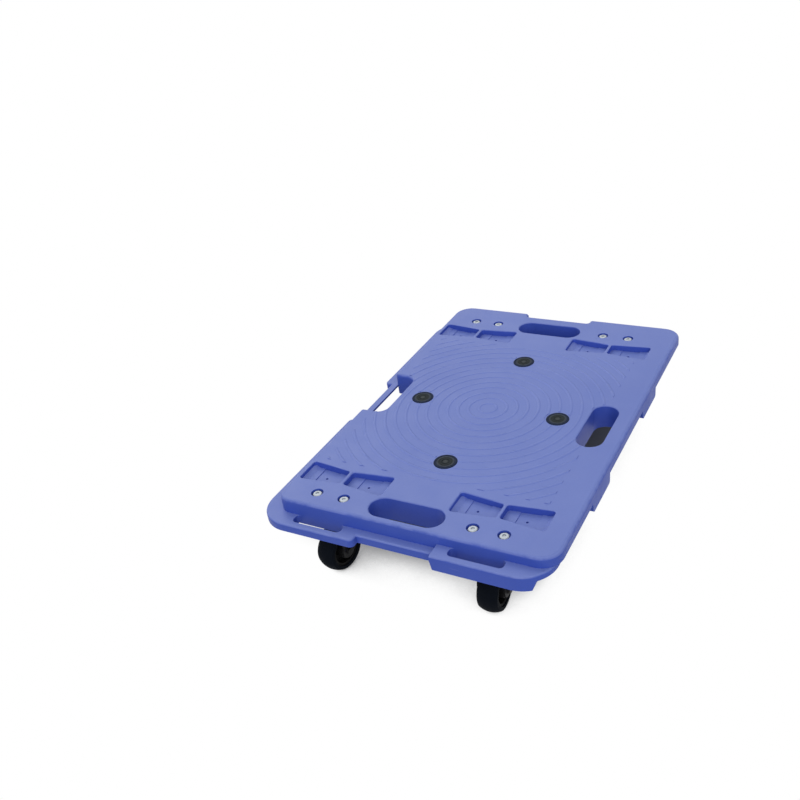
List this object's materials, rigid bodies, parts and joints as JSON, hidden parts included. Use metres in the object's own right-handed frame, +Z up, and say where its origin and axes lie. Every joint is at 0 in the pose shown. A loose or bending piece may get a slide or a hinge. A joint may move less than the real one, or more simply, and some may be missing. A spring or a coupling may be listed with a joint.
{
  "type": "platform dolly",
  "caption": "Low blue plastic platform dolly with hand slots, rubber grip pads, hook-and-slot coupling edges and swivel casters, for moving crates and appliances.",
  "frame": {"origin": "on the floor under the middle of the whole dolly, casters included", "axes": "+Z up from the floor, +Y along the dolly's length towards the end with hooks, +X across towards the side with hooks"},
  "size_m": [0.424, 0.624, 0.1228],
  "materials": {
    "deck_plastic": "fine-textured blue polypropylene",
    "pad_rubber": "matt black rubber",
    "zinc": "bright zinc plating",
    "fork_black": "black-coated pressed steel",
    "steel": "bare oiled steel",
    "wheel_plastic": "black polypropylene",
    "tyre_rubber": "black rubber"
  },
  "bodies": {
    "deck": {"deck": "deck_plastic", "grip_pad_front": "pad_rubber", "grip_pad_rear": "pad_rubber", "grip_pad_left": "pad_rubber", "grip_pad_right": "pad_rubber", "swivel_balls": "steel", "caster_bolts": "zinc", "caster_nuts": "zinc", "caster_screws": "zinc", "top_plate_front_left": "fork_black", "king_pin_front_left": "fork_black", "thrust_washer_front_left": "steel", "top_plate_front_right": "fork_black", "king_pin_front_right": "fork_black", "thrust_washer_front_right": "steel", "top_plate_rear_left": "fork_black", "king_pin_rear_left": "fork_black", "thrust_washer_rear_left": "steel", "top_plate_rear_right": "fork_black", "king_pin_rear_right": "fork_black", "thrust_washer_rear_right": "steel"},
    "caster_front_left": {"fork_front_left": "fork_black", "axle_bolt_front_left": "fork_black", "axle_nut_front_left": "fork_black", "axle_sleeve_front_left": "steel"},
    "wheel_front_left": {"wheel_core_front_left": "wheel_plastic", "tyre_front_left": "tyre_rubber"},
    "caster_front_right": {"fork_front_right": "fork_black", "axle_bolt_front_right": "fork_black", "axle_nut_front_right": "fork_black", "axle_sleeve_front_right": "steel"},
    "wheel_front_right": {"wheel_core_front_right": "wheel_plastic", "tyre_front_right": "tyre_rubber"},
    "caster_rear_left": {"fork_rear_left": "fork_black", "axle_bolt_rear_left": "fork_black", "axle_nut_rear_left": "fork_black", "axle_sleeve_rear_left": "steel"},
    "wheel_rear_left": {"wheel_core_rear_left": "wheel_plastic", "tyre_rear_left": "tyre_rubber"},
    "caster_rear_right": {"fork_rear_right": "fork_black", "axle_bolt_rear_right": "fork_black", "axle_nut_rear_right": "fork_black", "axle_sleeve_rear_right": "steel"},
    "wheel_rear_right": {"wheel_core_rear_right": "wheel_plastic", "tyre_rear_right": "tyre_rubber"}
  },
  "joints": [
    {"name": "swivel_front_left", "type": "hinge", "parent": "deck", "child": "caster_front_left", "pos_m": [-0.115, -0.24, 0.0862], "axis": [0, 0, 1], "continuous": true},
    {"name": "roll_front_left", "type": "hinge", "parent": "caster_front_left", "child": "wheel_front_left", "pos_m": [-0.11865, -0.26068, 0.0325], "axis": [0.9848, -0.1736, 0], "continuous": true},
    {"name": "swivel_front_right", "type": "hinge", "parent": "deck", "child": "caster_front_right", "pos_m": [0.115, -0.24, 0.0862], "axis": [0, 0, 1], "continuous": true},
    {"name": "roll_front_right", "type": "hinge", "parent": "caster_front_right", "child": "wheel_front_right", "pos_m": [0.1161, -0.26097, 0.0325], "axis": [0.9986, 0.0523, 0], "continuous": true},
    {"name": "swivel_rear_left", "type": "hinge", "parent": "deck", "child": "caster_rear_left", "pos_m": [-0.115, 0.24, 0.0862], "axis": [0, 0, 1], "continuous": true},
    {"name": "roll_rear_left", "type": "hinge", "parent": "caster_rear_left", "child": "wheel_rear_left", "pos_m": [-0.11683, 0.21908, 0.0325], "axis": [0.9962, -0.0872, 0], "continuous": true},
    {"name": "swivel_rear_right", "type": "hinge", "parent": "deck", "child": "caster_rear_right", "pos_m": [0.115, 0.24, 0.0862], "axis": [0, 0, 1], "continuous": true},
    {"name": "roll_rear_right", "type": "hinge", "parent": "caster_rear_right", "child": "wheel_rear_right", "pos_m": [0.11829, 0.21926, 0.0325], "axis": [0.9877, 0.1564, 0], "continuous": true}
  ]
}
